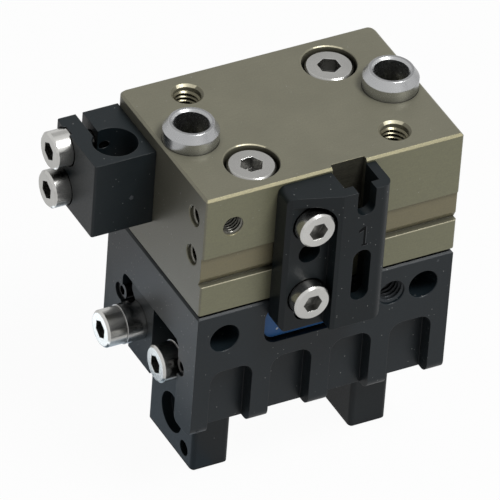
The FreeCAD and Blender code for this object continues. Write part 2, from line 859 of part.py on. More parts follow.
# Set screws that stop the roller cages at the ends of the guide
stops = []
for side, sign in (("left", -1), ("right", 1)):
    for face, way in (("front", -1), ("rear", 1)):
        near = sign * (HALF_LEN - S.stop_set_back)
        far = sign * (HALF_LEN - S.stop_set_back - S.stop_len)
        low, high = (near, far) if sign < 0 else (far, near)
        name = "%s_%s" % (side, face)
        plug = drill("stop_plug_" + name, "x", S.stop_dia / 2, low, high, way * S.stop_mid_y, -ROLLER_DROP)
        socket = doc.addObject("Part::Prism", "stop_socket_" + name)
        socket.Polygon = 6
        bind(socket, "Circumradius", S.stop_socket / math.sqrt(3.0))
        bind(socket, "Height", 1)
        place(socket, near if sign < 0 else near - 1, way * S.stop_mid_y, -ROLLER_DROP, turn((0, 1, 0), 90))
        stops.append(cut("stop_" + name, plug, [socket]))
stop_group = doc.addObject("Part::Compound", "cage_stop_screws")
stop_group.Links = stops
stop_group.Label = "cage_stop_screws"
pieces.append(stop_group)

# Nameplate, left blank
plate = new_body("nameplate")
drawing = new_sketch(plate, "plate_outline", "XZ_Plane", HALF_WID - S.plate_recess)
margin = S.plate_margin
add_polygon(drawing, rectangle(-S.plate_left + margin, S.plate_right - margin,
                               -PLATE_LOWER + margin, -PLATE_UPPER - margin))
pad(plate, drawing, S.plate_thick)
dress(plate, "Fillet", "plate_corners", S.plate_round - margin, lambda edge: runs_along(edge, (0, 1, 0)))
pieces.append(plate)

# Piston with its rod, split magnet ring, cap and lip seal
piston_top = -S.bore_roof - S.piston_head_room
magnet_top = piston_top - S.cap_tall
magnet_foot = magnet_top - S.magnet_tall
flange_foot = magnet_foot - S.flange_tall
piston_edge = S.bore_dia / 2 - S.piston_gap
magnet_edge = S.bore_dia / 2 - S.magnet_gap
seal_floor = piston_edge - S.seal_deep
seal_top = magnet_foot - (S.flange_tall - S.seal_tall) / 2
seal_foot = seal_top - S.seal_tall
rod_end = -HOOK_DROP
hook_foot = HOOK_DROP + S.hook_tall
rod_thread_top = -hook_foot + S.three_head_tall + S.hook_screw_len + S.thread_spare
cap_screw_foot = magnet_top - S.cap_screw_reach
rod = turned("piston_rod", [
    (THREAD_THREE, rod_end),
    (S.rod_dia / 2, rod_end),
    (S.rod_dia / 2, flange_foot),
    (piston_edge, flange_foot),
    (piston_edge, seal_foot),
    (seal_floor, seal_foot),
    (seal_floor, seal_top),
    (piston_edge, seal_top),
    (piston_edge, magnet_foot),
    (S.spigot_dia / 2, magnet_foot),
    (S.spigot_dia / 2, magnet_top),
    (THREAD_THREE, magnet_top),
    (THREAD_THREE, cap_screw_foot - S.thread_spare),
    (0, cap_screw_foot - S.thread_spare),
    (0, rod_thread_top),
    (THREAD_THREE, rod_thread_top),
])
pieces.append(rod)
pieces.append(turned("piston_seal", [
    (seal_floor + S.seat_gap, seal_foot + S.seat_gap),
    (piston_edge - 0.2, seal_foot + S.seat_gap),
    (piston_edge, seal_foot + 0.4),
    (piston_edge, seal_top - 0.4),
    (piston_edge - 0.2, seal_top - S.seat_gap),
    (seal_floor + S.seat_gap, seal_top - S.seat_gap),
]))
pieces.append(turned("piston_magnet", [
    (S.spigot_dia / 2 + S.seat_gap, magnet_foot),
    (magnet_edge, magnet_foot),
    (magnet_edge, magnet_top),
    (S.spigot_dia / 2 + S.seat_gap, magnet_top),
]))
pieces.append(turned("piston_cap", [
    (S.three_dia / 2 + S.loose_gap, magnet_top),
    (piston_edge, magnet_top),
    (piston_edge, piston_top - S.head_bevel),
    (piston_edge - S.head_bevel, piston_top),
    (S.three_head / 2 + S.loose_gap, piston_top),
    (S.three_dia / 2 + S.loose_gap, piston_top - (S.three_head - S.three_dia) / 2),
]))
pin = turned("piston_cap_screw", [
    (0, piston_top),
    (S.three_head / 2, piston_top),
    (S.three_dia / 2, piston_top - (S.three_head - S.three_dia) / 2),
    (S.three_dia / 2, cap_screw_foot),
    (0, cap_screw_foot),
])
pieces.append(pin)


# Wedge hook: a block with inclined flanks, each with a T-shaped rib
def flank(drop):
    """Half width of the hook's flank at a depth below the top face, at rest."""
    return S.hook_top_half - SLOPE * (length(drop) - HOOK_DROP)


def band(inner, outer, upper, lower, way=-1):
    """Strip that follows the flank between two horizontal offsets."""
    return [
        (way * (flank(upper) + inner), -length(upper)),
        (way * (flank(upper) + outer), -length(upper)),
        (way * (flank(lower) + outer), -length(lower)),
        (way * (flank(lower) + inner), -length(lower)),
    ]


hook = new_body("wedge_block")
drawing = new_sketch(hook, "hook_flanks", "XZ_Plane")
add_polygon(drawing, [
    (-flank(HOOK_DROP), -HOOK_DROP),
    (flank(HOOK_DROP), -HOOK_DROP),
    (flank(hook_foot), -hook_foot),
    (-flank(hook_foot), -hook_foot),
])
pad(hook, drawing, 2 * S.hook_half_wide, both=True)
reach_neck = S.neck_deep + S.tee_deep
for side, way in (("left", -1), ("right", 1)):
    drawing = new_sketch(hook, "neck_" + side, "XZ_Plane")
    add_polygon(drawing, band(length(-0.5), reach_neck, HOOK_DROP, hook_foot, way))
    pad(hook, drawing, 2 * S.neck_half, both=True)
    drawing = new_sketch(hook, "tee_" + side, "XZ_Plane")
    add_polygon(drawing, band(S.neck_deep, reach_neck, HOOK_DROP, hook_foot, way))
    pad(hook, drawing, 2 * S.tee_half, both=True)
head_top = -hook_foot + S.three_head_tall
tools = [
    drill("hook_way", "z", S.clear_three / 2, -hook_foot - 1, rod_end + 1, 0, 0),
    drill("hook_sink", "z", HEAD_ROOM, -hook_foot - 1, head_top, 0, 0),
]
pieces.append(cut("wedge_hook", hook, tools))
screw = screw_three("hook_screw", S.hook_screw_len)
place(screw, 0, 0, -hook_foot, turn((1, 0, 0), 180))
pieces.append(screw)


# Jaws: carriage with roller grooves, offset boss, T-slot of the hook, finger
def carriage_side(sign):
    mouth = S.jaw_half - JAW_APEX
    return [
        (sign * S.jaw_half, -JAW_TOP),
        (sign * S.jaw_half, -ROLLER_DROP + mouth),
        (sign * (JAW_APEX + S.apex_flat), -ROLLER_DROP + S.apex_flat),
        (sign * (JAW_APEX + S.apex_flat), -ROLLER_DROP - S.apex_flat),
        (sign * S.jaw_half, -ROLLER_DROP - mouth),
        (sign * S.jaw_half, -JAW_FOOT),
    ]


def make_jaw(name):
    jaw = new_body(name + "_block")
    drawing = new_sketch(jaw, name + "_profile", "YZ_Plane", -S.boss_outer)
    add_polygon(drawing, carriage_side(-1) + carriage_side(1)[::-1])
    pad(jaw, drawing, S.boss_outer - S.jaw_inner)
    drawing = new_sketch(jaw, name + "_step", "XY_Plane", -JAW_FOOT - 1)
    add_polygon(drawing, rectangle(-S.boss_outer - 1, -S.jaw_outer, -S.jaw_half - 1, S.boss_start_y))
    pocket(jaw, drawing, JAW_FOOT - JAW_TOP + 2, back=True)
    drawing = new_sketch(jaw, name + "_finger", "XY_Plane", -JAW_FOOT)
    add_polygon(drawing, rectangle(-S.jaw_outer, -S.finger_inner, -S.finger_half, S.finger_half))
    pad(jaw, drawing, FINGER_FOOT - JAW_FOOT, back=True)

    def is_finger_edge(edge):
        spot = edge.CenterOfMass
        return runs_along(edge, (0, 0, 1)) and spot.z < -JAW_FOOT.value - 1

    dress(jaw, "Fillet", name + "_finger_edges", S.finger_round, is_finger_edge)

    def is_finger_foot(edge):
        return lies_at(edge, -FINGER_FOOT.value)

    dress(jaw, "Chamfer", name + "_finger_foot", S.finger_bevel, is_finger_foot)

    # Room for the hook between the cheeks, then the T-slot along its flank
    upper, lower = JAW_TOP - 1, JAW_FOOT + 1
    gap = S.hook_gap
    drawing = new_sketch(jaw, name + "_room", "XZ_Plane")
    add_polygon(drawing, [
        (-flank(upper) - gap, -upper),
        (length(1), -upper),
        (length(1), -lower),
        (-flank(lower) - gap, -lower),
    ])
    pocket(jaw, drawing, 2 * (S.hook_half_wide + S.hook_side_gap), both=True)
    drawing = new_sketch(jaw, name + "_neck_slot", "XZ_Plane")
    add_polygon(drawing, band(length(-0.5), S.neck_deep + gap, upper, lower))
    pocket(jaw, drawing, 2 * (S.neck_half + gap), both=True)
    drawing = new_sketch(jaw, name + "_tee_slot", "XZ_Plane")
    add_polygon(drawing, band(S.neck_deep - gap, reach_neck + gap, upper, lower))
    pocket(jaw, drawing, 2 * (S.tee_half + gap), both=True)

    face = -S.jaw_outer
    tools = [
        drill(name + "_bore", "x", S.finger_bore / 2, face - 1, face + S.finger_bore_deep, 0, -FINGER_BORE_DROP),
        drill(name + "_thread", "x", S.tap_four / 2, face - 1, 1 - S.finger_inner, 0, -FINGER_BORE_DROP),
        drill(name + "_dowel", "x", S.dowel_dia / 2, face - 1, 1 - S.finger_inner, -S.dowel_y, -DOWEL_DROP),
    ]
    deep = S.cam_screw_len - S.cam_sleeve_len + S.thread_spare
    tools.append(drill(name + "_cam_rear", "x", THREAD_THREE, -S.boss_outer - 1, -S.boss_outer + deep,
                       S.cam_y, -CAM_DROP))
    tools.append(drill(name + "_cam_front", "x", THREAD_THREE, face - 1, face + deep,
                       -S.cam_y, -CAM_DROP))
    return cut(name, jaw, tools)


jaw_left = make_jaw("jaw_left")
jaw_right = make_jaw("jaw_right")
jaw_right.Placement = FreeCAD.Placement(FreeCAD.Vector(0, 0, 0), turn((0, 0, 1), 180))
pieces += [jaw_left, jaw_right]

# Switching cams on the left jaw: a sleeve under a cap screw, at two depths
for row, sign, face in (("rear", 1, S.boss_outer), ("front", -1, S.jaw_outer)):
    ring = turned("cam_sleeve_" + row, [
        (S.three_dia / 2 + S.loose_gap, 0),
        (S.cam_dia / 2, 0),
        (S.cam_dia / 2, S.cam_sleeve_len),
        (S.three_dia / 2 + S.loose_gap, S.cam_sleeve_len),
    ])
    place(ring, -face - S.cam_sleeve_len, sign * S.cam_y, -CAM_DROP, turn((0, 1, 0), 90))
    pieces.append(ring)
    screw = screw_three("cam_screw_" + row, S.cam_screw_len)
    place(screw, -face - S.cam_sleeve_len - S.three_head_tall, sign * S.cam_y, -CAM_DROP, TO_X)
    pieces.append(screw)

# Roller cages with three crossed rollers each
for side, sign in (("left", -1), ("right", 1)):
    for face, way in (("front", -1), ("rear", 1)):
        name = "%s_%s" % (side, face)
        outer, inner = sign * S.cage_outer, sign * (S.cage_outer - S.cage_len)
        x = (outer, inner) if sign < 0 else (inner, outer)
        middle = way * S.roller_mid_y
        strip = block("cage_strip_" + name, x,
                      (middle - S.cage_thick / 2, middle + S.cage_thick / 2),
                      (-ROLLER_DROP - S.cage_half_tall, -ROLLER_DROP + S.cage_half_tall))
        windows = []
        rollers = []
        half_diamond = (S.roller_dia + S.roller_len) / 2 / ROOT_TWO
        for number in range(3):
            centre = sign * (S.cage_outer - S.cage_len / 2 + (number - 1) * S.cage_pitch)
            half = S.roller_dia / 2 + S.cage_gap
            tall = half_diamond + S.cage_gap
            windows.append(block("window_%s_%d" % (name, number), (centre - half, centre + half),
                                 (middle - S.cage_thick, middle + S.cage_thick),
                                 (-ROLLER_DROP - tall, -ROLLER_DROP + tall)))
            edge, end = S.roller_dia / 2, S.roller_len / 2
            roller = turned("roller_%s_%d" % (name, number), [
                (0, -end),
                (edge - S.roller_bevel, -end),
                (edge, -end + S.roller_bevel),
                (edge, end - S.roller_bevel),
                (edge - S.roller_bevel, end),
                (0, end),
            ])
            lean = 45 if number % 2 == 0 else -45
            place(roller, centre, middle, -ROLLER_DROP, turn((1, 0, 0), lean))
            rollers.append(roller)
        pieces.append(cut("roller_cage_" + name, strip, windows))
        group = doc.addObject("Part::Compound", "rollers_" + name)
        group.Links = rollers
        group.Label = "rollers_" + name
        pieces.append(group)

# Sensor bracket: slanted plate with the rib that carries the sensor slot
face = -HALF_WID
floor = face - S.bracket_plate
front = face - S.bracket_rib
bracket = new_body("bracket_block")
drawing = new_sketch(bracket, "bracket_outline", "XY_Plane", -S.bracket_upper)
add_polygon(drawing, [
    (-S.bracket_left, face),
    (-S.bracket_left, floor + S.bracket_side_bevel),
    (-S.bracket_left + S.bracket_side_bevel, floor),
    (-S.bracket_slant_x, front),
    (S.bracket_right, front),
    (S.bracket_right, face),
])
pad(bracket, drawing, S.bracket_lower - S.bracket_upper, back=True)
drawing = new_sketch(bracket, "screw_land", "XZ_Plane", HALF_WID + S.bracket_plate)
add_polygon(drawing, rectangle(-S.bracket_left - 1, -S.rib_left, -S.bracket_lower - 1, -S.bracket_land))
pocket(bracket, drawing, S.bracket_rib - S.bracket_plate + 1, back=True)


def is_rib_corner(edge):
    spot = edge.CenterOfMass
    upright = runs_along(edge, (0, 0, 1)) and abs(spot.x - S.bracket_right.value) < 1e-3
    lying = runs_along(edge, (0, 1, 0)) and abs(spot.x - S.bracket_right.value) < 1e-3
    low = lying and spot.z < -S.bracket_lower.value + 1e-3
    return (upright and spot.y < front.value + 1e-3) or low


dress(bracket, "Fillet", "rib_corners", S.bracket_round, is_rib_corner)


def is_side_corner(edge):
    spot = edge.CenterOfMass
    return runs_along(edge, (0, 1, 0)) and abs(spot.x + S.bracket_left.value) < 1e-3


dress(bracket, "Fillet", "side_corners", S.bracket_side_round, is_side_corner)


def is_land_corner(edge):
    spot = edge.CenterOfMass
    return (runs_along(edge, (0, 1, 0)) and abs(spot.x + S.rib_left.value) < 1e-3
            and abs(spot.z + S.bracket_land.value) < 1e-3)


dress(bracket, "Fillet", "land_corner", S.bracket_land_round, is_land_corner)

mid = S.sensor_mid
half = S.sensor_wide / 2
x, low = -S.bracket_screw_x, -BRACKET_SCREW_LOW
tools = [
    block("sensor_chamber", (mid - S.chamber_wide / 2, mid + S.chamber_wide / 2),
          (face - S.chamber_deep, face + 1), (-S.chamber_foot, length(1))),
    block("sensor_slot", (mid - half, mid + half), (front - 1, face),
          (-S.sensor_slot_foot + half, length(1))),
    drill("sensor_slot_end", "y", half, front - 1, face, mid, -S.sensor_slot_foot + half),
    block("window_middle", (mid - half, mid + half), (front - 1, face),
          (-S.window_lower + half, -S.window_upper - half)),
    drill("window_top", "y", half, front - 1, face, mid, -S.window_upper - half),
    drill("window_foot", "y", half, front - 1, face, mid, -S.window_lower + half),
    drill("bracket_hole", "y", S.clear_three / 2, front - 1, face + 1, x, -S.bracket_hole_drop),
    block("slot_middle", (x - S.clear_three / 2, x + S.clear_three / 2), (front - 1, face + 1),
          (-S.bracket_slot_drop, low)),
    drill("slot_end", "y", S.clear_three / 2, front - 1, face + 1, x, -S.bracket_slot_drop),
]
for level, drop in (("upper", S.bracket_screw_up), ("lower", BRACKET_SCREW_LOW)):
    tools.append(drill("bracket_way_" + level, "y", S.clear_three / 2, front - 1, face + 1, x, -drop))
    tools.append(drill("bracket_sink_" + level, "y", HEAD_ROOM, front - 1,
                       floor + S.bracket_sink, x, -drop))
pieces.append(cut("sensor_bracket", bracket, tools))
for level, drop in (("upper", S.bracket_screw_up), ("lower", BRACKET_SCREW_LOW)):
    screw = screw_three("bracket_screw_" + level, S.bracket_screw_len)
    place(screw, x, floor + S.bracket_sink - S.three_head_tall, -drop, TO_Y)
    pieces.append(screw)

# Sensor clamp: block with an upright bore, slit to its rear edge
left = -HALF_LEN - S.clamp_len
clamp = new_body("clamp_block")
drawing = new_sketch(clamp, "clamp_outline", "XY_Plane", -S.clamp_upper)
slit_mid = -HALF_LEN - S.clamp_slit_x
add_polygon(drawing, [
    (-HALF_LEN, S.clamp_near),
    (left, S.clamp_near),
    (left, S.clamp_far),
    (slit_mid - S.clamp_slit / 2, S.clamp_far),
    (slit_mid - S.clamp_slit / 2, S.clamp_mid_y),
    (slit_mid + S.clamp_slit / 2, S.clamp_mid_y),
    (slit_mid + S.clamp_slit / 2, S.clamp_far),
    (-HALF_LEN, S.clamp_far),
])
pad(clamp, drawing, S.clamp_lower - S.clamp_upper, back=True)


def is_clamp_corner(edge):
    spot = edge.CenterOfMass
    return runs_along(edge, (0, 0, 1)) and abs(spot.x - left.value) < 1e-3


dress(clamp, "Fillet", "clamp_corners", S.clamp_round, is_clamp_corner)
tools = [
    drill("clamp_bore_way", "z", S.clamp_bore / 2, -S.clamp_lower - 1, 1 - S.clamp_upper,
          -HALF_LEN - S.clamp_mid_x, S.clamp_mid_y),
]
for level, drop in (("upper", S.side_upper), ("lower", S.side_lower)):
    tools.append(drill("clamp_way_" + level, "x", S.clear_three / 2, left - 1, 1 - HALF_LEN, S.side_mid_y, -drop))
    tools.append(drill("clamp_sink_" + level, "x", HEAD_ROOM, left - 1, left + S.clamp_sink,
                       S.side_mid_y, -drop))
pieces.append(cut("sensor_clamp", clamp, tools))
for level, drop in (("upper", S.side_upper), ("lower", S.side_lower)):
    screw = screw_three("clamp_screw_" + level, S.clamp_screw_len)
    place(screw, left + S.clamp_sink - S.three_head_tall, S.side_mid_y, -drop, TO_X)
    pieces.append(screw)

# Every object and every piece is sound before anything is written
doc.recompute()
for item in doc.Objects:
    if "Invalid" in item.State or "Error" in item.State:
        raise RuntimeError("%s failed: %s" % (item.Name, item.State))
for piece in pieces:
    if piece.Shape.isNull() or not piece.Shape.isValid():
        raise RuntimeError("%s has no valid shape" % piece.Label)
for piece in pieces:
    piece.Shape.exportStep(os.path.join("parts", piece.Label + ".step"))
print(len(pieces), "pieces written")
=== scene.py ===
import math
import random

import bpy
from mathutils import Matrix, Vector


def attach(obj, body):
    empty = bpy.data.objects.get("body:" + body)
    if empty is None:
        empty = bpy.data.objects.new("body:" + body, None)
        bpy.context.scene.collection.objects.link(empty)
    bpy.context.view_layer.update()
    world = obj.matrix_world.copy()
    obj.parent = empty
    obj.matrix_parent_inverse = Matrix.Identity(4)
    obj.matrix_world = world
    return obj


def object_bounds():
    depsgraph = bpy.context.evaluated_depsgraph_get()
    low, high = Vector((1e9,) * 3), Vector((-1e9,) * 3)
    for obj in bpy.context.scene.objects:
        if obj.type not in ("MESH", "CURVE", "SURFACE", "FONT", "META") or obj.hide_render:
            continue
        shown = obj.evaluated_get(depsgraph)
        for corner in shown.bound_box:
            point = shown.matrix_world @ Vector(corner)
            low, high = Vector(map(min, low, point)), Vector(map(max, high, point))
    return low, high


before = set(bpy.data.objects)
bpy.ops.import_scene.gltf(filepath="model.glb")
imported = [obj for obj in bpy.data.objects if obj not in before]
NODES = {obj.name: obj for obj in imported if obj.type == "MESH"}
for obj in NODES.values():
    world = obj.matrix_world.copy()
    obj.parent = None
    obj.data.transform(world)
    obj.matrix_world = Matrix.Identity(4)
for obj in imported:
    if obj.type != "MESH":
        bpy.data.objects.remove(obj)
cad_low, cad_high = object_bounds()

MM = 0.001
scene = bpy.context.scene


# Node helpers
def new_material(name):
    mat = bpy.data.materials.new(name)
    mat.use_nodes = True
    tree = mat.node_tree
    return mat, tree, tree.nodes["Principled BSDF"]


def node(tree, kind, **settings):
    made = tree.nodes.new(kind)
    for key, value in settings.items():
        setattr(made, key, value)
    return made


def feed(tree, slot, item):
    """Sets a socket to a number or colour, or links it to another node."""
    if isinstance(item, (int, float)):
        slot.default_value = item
    elif isinstance(item, tuple):
        slot.default_value = (*item, 1.0)
    else:
        tree.links.new(item, slot)


def noise(tree, coords, scale, detail, roughness=0.6):
    made = node(tree, "ShaderNodeTexNoise")
    made.inputs["Scale"].default_value = scale
    made.inputs["Detail"].default_value = detail
    made.inputs["Roughness"].default_value = roughness
    tree.links.new(coords, made.inputs["Vector"])
    return made.outputs["Fac"]


def remap(tree, value, low, high, to_low=0.0, to_high=1.0):
    made = node(tree, "ShaderNodeMapRange", clamp=True)
    made.inputs["From Min"].default_value = low
    made.inputs["From Max"].default_value = high
    made.inputs["To Min"].default_value = to_low
    made.inputs["To Max"].default_value = to_high
    tree.links.new(value, made.inputs["Value"])
    return made.outputs["Result"]


def maths(tree, operation, first, second):
    made = node(tree, "ShaderNodeMath", operation=operation)
    feed(tree, made.inputs[0], first)
    feed(tree, made.inputs[1], second)
    return made.outputs[0]


def product(tree, *items):
    total = items[0]
    for item in items[1:]:
        total = maths(tree, "MULTIPLY", total, item)
    return total


def blend_colour(tree, factor, first, second):
    made = node(tree, "ShaderNodeMix", data_type="RGBA")
    feed(tree, made.inputs[0], factor)
    feed(tree, made.inputs[6], first)
    feed(tree, made.inputs[7], second)
    return made.outputs[2]


def blend_value(tree, factor, first, second):
    made = node(tree, "ShaderNodeMix", data_type="FLOAT")
    feed(tree, made.inputs[0], factor)
    feed(tree, made.inputs[2], first)
    feed(tree, made.inputs[3], second)
    return made.outputs[0]


def scaled(tree, coords, x, y, z):
    made = node(tree, "ShaderNodeMapping")
    made.inputs["Scale"].default_value = (x, y, z)
    tree.links.new(coords, made.inputs["Vector"])
    return made.outputs["Vector"]


def split(tree, vector):
    made = node(tree, "ShaderNodeSeparateXYZ")
    tree.links.new(vector, made.inputs[0])
    return made.outputs


# Scales of the patterns per metre
DRIFT_SCALE = 110.0
PATCH_SCALE = 700.0
DUST_SCALE = 2300.0
STREAK_SCALE = 9000.0

# Radius of the worn edges, which also carry a painted edge highlight, in millimetres, and width of the
# soft border of a zone
EDGE_RADIUS = 0.13
ZONE_SOFT = 0.03
DUST_COLOUR = (0.42, 0.43, 0.42)


def specks(tree, coords, scale, amount):
    """Small separate dots, 1 inside a dot."""
    cells = node(tree, "ShaderNodeTexVoronoi")
    cells.inputs["Scale"].default_value = scale
    tree.links.new(coords, cells.inputs["Vector"])
    near = remap(tree, cells.outputs["Distance"], 0.20, 0.08)
    parts = node(tree, "ShaderNodeSeparateColor")
    tree.links.new(cells.outputs["Color"], parts.inputs[0])
    chosen = maths(tree, "LESS_THAN", parts.outputs[0], amount)
    bright = remap(tree, parts.outputs[1], 0.0, 1.0, 0.25, 1.0)
    return product(tree, near, chosen, bright)


def machining_lines(tree, coords, normal):
    """Fine lines, along x on faces that look up and level on upright faces."""
    flat = remap(tree, split(tree, normal)[2], 0.5, 0.9)
    level = noise(tree, scaled(tree, coords, 0.05, 0.05, 1.0), STREAK_SCALE, 2.0)
    along = noise(tree, scaled(tree, coords, 0.05, 1.0, 0.05), STREAK_SCALE, 2.0)
    return blend_value(tree, flat, level, along)


def within(tree, coords, normal, limits):
    """1 where every named coordinate (x, y, z in mm, or nx, ny, nz) is between its limits."""
    outputs = [*split(tree, coords)[:3], *split(tree, normal)[:3]]
    values = dict(zip(("x", "y", "z", "nx", "ny", "nz"), outputs))
    items = []
    for key, (low, high) in limits.items():
        unit = 1.0 if key.startswith("n") else MM
        soft = ZONE_SOFT * unit
        items.append(remap(tree, values[key], low * unit - soft, low * unit))
        items.append(remap(tree, values[key], high * unit + soft, high * unit))
    return product(tree, *items)


def times(colour, factor):
    return tuple(min(1.0, c * factor) for c in colour)


def surface(name, base, edge, metallic, rough, level=0.5, grain=4000.0, mottle=0.3, wear_and_highlight=0.5,
            dust=0.0, reach=1.5, hollow_shade=0.2, relief=0.02, streaks=0.0, coat=0.0,
            shade_range=(0.12, 0.72), rim_range=(0.7, 0.95), zones=()):
    """Solid finish: colour drift, grain, worn edges that also carry a painted edge highlight, dust, and
    painted shade that darkens hollows.

    grain is the scale of the fine pattern, relief its depth in millimetres.
    mottle, streaks, the edge wear with its painted highlight, and dust are amounts from 0 to 1.
    reach is how far in millimetres a hollow is felt, and the hollow shade factor is the colour of the
    painted shade left in its depth.
    shade_range and rim_range are the openness at which the painted shade clears and the edges wear and
    take their painted highlight.
    zones are pairs of a colour and the limits inside which it holds; some zones are painted shade and some
    are painted highlights.
    """
    mat, tree, shader = new_material(name)
    coords = node(tree, "ShaderNodeTexCoord").outputs["Object"]
    normal = node(tree, "ShaderNodeNewGeometry").outputs["True Normal"]

    drift = remap(tree, noise(tree, coords, DRIFT_SCALE, 2.0), 0.3, 0.7)
    colour = blend_colour(tree, drift, times(base, 0.92), times(base, 1.08))
    for zone_colour, limits in zones:
        colour = blend_colour(tree, within(tree, coords, normal, limits), colour, zone_colour)

    fine = noise(tree, coords, grain, 4.0, 0.7)
    height = fine
    colour = blend_colour(tree, remap(tree, fine, 0.35, 0.65, 0.0, mottle), colour, times(base, 0.62))
    if streaks:
        lines = machining_lines(tree, coords, normal)
        height = maths(tree, "ADD", fine, lines)
        colour = blend_colour(tree, remap(tree, lines, 0.35, 0.65, 0.0, streaks), colour, times(base, 0.7))

    rounded = node(tree, "ShaderNodeBevel", samples=6)
    rounded.inputs["Radius"].default_value = EDGE_RADIUS * MM
    bend = node(tree, "ShaderNodeVectorMath", operation="DOT_PRODUCT")
    tree.links.new(rounded.outputs["Normal"], bend.inputs[0])
    tree.links.new(normal, bend.inputs[1])
    rim = remap(tree, bend.outputs["Value"], 0.985, 0.82)

    openness = node(tree, "ShaderNodeAmbientOcclusion", samples=8)
    openness.inputs["Distance"].default_value = reach * MM
    clear = remap(tree, openness.outputs["AO"], *shade_range)
    outer = remap(tree, openness.outputs["AO"], *rim_range)
    patchy = remap(tree, noise(tree, coords, PATCH_SCALE, 3.0), 0.4, 0.65, 0.25, 1.0)
    # Edge colour along open convex edges: partly real edge wear, partly a painted edge highlight
    colour = blend_colour(tree, product(tree, rim, outer, patchy, wear_and_highlight), colour, edge)
    if dust:
        dots = product(tree, specks(tree, coords, DUST_SCALE, dust), clear)
        colour = blend_colour(tree, dots, colour, DUST_COLOUR)
    # Painted shade: colour falls towards base times the hollow shade factor in hollows, creases and
    # between parts, where ambient occlusion finds little openness
    colour = blend_colour(tree, clear, times(base, hollow_shade), colour)

    bump = node(tree, "ShaderNodeBump")
    bump.inputs["Strength"].default_value = 0.3
    bump.inputs["Distance"].default_value = relief * MM
    feed(tree, bump.inputs["Height"], height)
    feed(tree, bump.inputs["Normal"], rounded.outputs["Normal"])

    feed(tree, shader.inputs["Base Color"], colour)
    feed(tree, shader.inputs["Roughness"],
         remap(tree, fine, 0.3, 0.7, rough - 0.15 * mottle, rough + 0.25 * mottle))
    feed(tree, shader.inputs["Normal"], bump.outputs["Normal"])
    shader.inputs["Metallic"].default_value = metallic
    shader.inputs["Specular IOR Level"].default_value = level
    shader.inputs["Coat Weight"].default_value = coat
    shader.inputs["Coat Roughness"].default_value = 0.3
    return mat


# Zones of the cylinder housing, limited by place and by where a face looks; several of them are painted
# shade and painted highlights
TO_FRONT = {"ny": (-1.1, -0.8)}
TO_LEFT = {"nx": (-1.1, -0.8)}
SLANTING_UP = {"nz": (0.6, 0.8)}
GOLD = (0.12, 0.112, 0.075)
# Painted highlight colour for the lit line of the ledge and the far sides of bevels
GOLD_PAINTED_HIGHLIGHT = (0.62, 0.58, 0.42)
HOUSING_ZONES = [
    # Front face, band below it, painted highlight for the lit line of the ledge
    ((0.190, 0.187, 0.114), {"y": (-13.8, -13.6), **TO_FRONT}),
    ((0.195, 0.170, 0.096), {"y": (-13.5, -12.9), "z": (-15.0, -10.2), **TO_FRONT}),
    (GOLD_PAINTED_HIGHLIGHT, {"y": (-13.8, -13.6), "z": (-15.14, -14.9), "ny": (-1.1, -0.6)}),
    # Painted shade in the notch behind the bracket, painted shade on the left face, bevel along the front
    # of the top
    ((0.028, 0.027, 0.022), {"y": (-13.5, -10.0), "z": (-10.2, 0.0), "x": (-3.0, 6.0), **TO_FRONT}),
    ((0.125, 0.120, 0.092), TO_LEFT),
    ((0.165, 0.147, 0.072), {"ny": (-0.8, -0.6), **SLANTING_UP, "x": (-21.0, 21.0), "y": (-15.0, -13.0)}),
    # Bevelled mouths of the two mounting threads, with painted highlights on their far sides
    (GOLD, {**SLANTING_UP, "x": (8.9, 13.9), "y": (-11.8, -6.8)}),
    (GOLD, {**SLANTING_UP, "x": (-13.9, -8.9), "y": (6.8, 11.8)}),
    (GOLD_PAINTED_HIGHLIGHT, {**SLANTING_UP, "x": (10.8, 13.5), "y": (-8.2, -6.8)}),
    (GOLD_PAINTED_HIGHLIGHT, {**SLANTING_UP, "x": (-12.0, -9.3), "y": (10.4, 11.8)}),
    # Painted highlights on the far sides of the rims round the two housing screws
    (GOLD_PAINTED_HIGHLIGHT, {**SLANTING_UP, "x": (-10.6, -6.2), "y": (-5.7, -3.7)}),
    (GOLD_PAINTED_HIGHLIGHT, {**SLANTING_UP, "x": (9.8, 14.2), "y": (10.3, 12.3)}),
]
# Painted shade on the shanks of the clamp screws in the slit of the clamp
SHANK_SHADE_ZONES = [((0.01, 0.01, 0.01), {"x": (-29.2, -15.0), "y": (7.0, 13.6), "z": (-14.6, -1.6)})]

# Anodised metal and plastic
BRONZE = surface(
    "bronze_anodised", (0.190, 0.183, 0.132), (0.38, 0.34, 0.20), 0.45, 0.40, grain=4200.0,
    mottle=0.30, wear_and_highlight=0.6, dust=0.02, reach=1.8, hollow_shade=0.16, relief=0.03, streaks=0.28, coat=0.15,
    zones=HOUSING_ZONES)
BLACK_ANODISED = surface(
    "black_anodised", (0.0062, 0.0105, 0.0135), (0.065, 0.07, 0.075), 0.0, 0.36, 0.34, grain=5200.0,
    mottle=0.35, wear_and_highlight=0.35, dust=0.055, reach=3.0, relief=0.03, streaks=0.2)
JAW_BLACK = surface(
    "jaw_black", (0.0045, 0.0080, 0.0102), (0.045, 0.05, 0.055), 0.0, 0.38, 0.29, grain=5200.0,
    mottle=0.35, wear_and_highlight=0.25, dust=0.03, reach=3.0, relief=0.03)
PLASTIC = surface(
    "black_plastic", (0.0052, 0.0090, 0.0112), (0.035, 0.04, 0.044), 0.0, 0.37, 0.31, grain=3800.0,
    wear_and_highlight=0.35, dust=0.05, reach=1.2, relief=0.03)
BRACKET = surface(
    "bracket_plastic", (0.0038, 0.0068, 0.0085), (0.035, 0.04, 0.044), 0.0, 0.37, 0.26, grain=3800.0,
    wear_and_highlight=0.35, dust=0.065, reach=1.2, relief=0.03)
PLATE = surface(
    "plate_blue", (0.012, 0.100, 0.300), (0.28, 0.48, 0.70), 0.0, 0.35, 0.35, grain=2600.0,
    mottle=0.2, wear_and_highlight=0.9, dust=0.02, reach=0.5, hollow_shade=0.4, rim_range=(0.1, 0.3))

